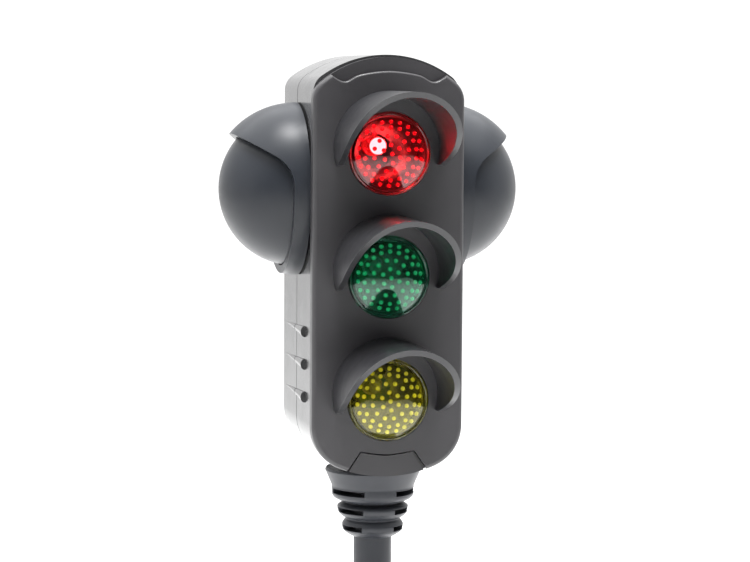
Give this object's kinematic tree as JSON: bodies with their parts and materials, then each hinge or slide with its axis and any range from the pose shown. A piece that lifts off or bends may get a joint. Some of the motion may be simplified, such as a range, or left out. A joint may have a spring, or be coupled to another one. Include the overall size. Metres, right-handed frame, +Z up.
{
  "type": "desk traffic signal head",
  "caption": "Desk-size three-light traffic signal head with cutaway visors, hooded side domes and a moulded cable with a flat plug.",
  "frame": {"origin": "centre of the flat back face of the rear housing half, which is what holds the head up", "axes": "+Y out of the back face, the lights face -Y, +Z up, +X to a front viewer's right"},
  "size_m": [0.0548, 0.0543, 0.3092],
  "materials": {
    "panel_plastic": "satin moulded plastic",
    "housing_plastic": "glossy moulded plastic",
    "dome_plastic": "satin moulded plastic",
    "red_lens": "clear red plastic",
    "green_lens": "clear green plastic",
    "yellow_lens": "clear yellow plastic",
    "reflector": "silvered plastic",
    "led_lit_red": "clear epoxy, lit red",
    "led_clear": "clear epoxy",
    "board": "solder resist",
    "chip": "moulded epoxy",
    "capacitor": "bare can",
    "screw_steel": "zinc plated",
    "wire": "insulated wire",
    "cable_jacket": "soft satin PVC",
    "tie": "soft strap",
    "plug_metal": "plated",
    "plug_white": "moulded",
    "contact_gold": "gold plated"
  },
  "bodies": {
    "root": {"front_panel": "panel_plastic", "housing_front": "housing_plastic", "housing_rear": "housing_plastic", "visor_red": "panel_plastic", "visor_green": "panel_plastic", "visor_yellow": "panel_plastic", "lens_red": "red_lens", "lens_green": "green_lens", "lens_yellow": "yellow_lens", "reflector_red": "reflector", "reflector_green": "reflector", "reflector_yellow": "reflector", "led_red": "led_lit_red", "led_green": "led_clear", "led_yellow": "led_clear", "dome_left": "dome_plastic", "dome_right": "dome_plastic", "hood_left": "dome_plastic", "hood_right": "dome_plastic", "strain_relief": "cable_jacket", "circuit_board": "board", "driver_chip": "chip", "resistor_red": "chip", "resistor_green": "chip", "resistor_yellow": "chip", "capacitor_1": "capacitor", "capacitor_2": "capacitor", "board_screw_1": "screw_steel", "board_screw_2": "screw_steel", "housing_screw_1": "screw_steel", "housing_screw_2": "screw_steel", "housing_screw_3": "screw_steel", "housing_screw_4": "screw_steel", "lead_wire_1": "wire", "lead_wire_2": "wire", "lead_wire_3": "wire", "lead_wire_4": "wire", "cable_run": "cable_jacket", "cable_hank": "cable_jacket", "cable_tail": "cable_jacket", "cable_tie": "tie", "plug_body": "cable_jacket", "plug_shell": "plug_metal", "plug_insulator": "plug_white", "plug_contact_1": "contact_gold", "plug_contact_2": "contact_gold", "plug_contact_3": "contact_gold", "plug_contact_4": "contact_gold"}
  },
  "joints": []
}
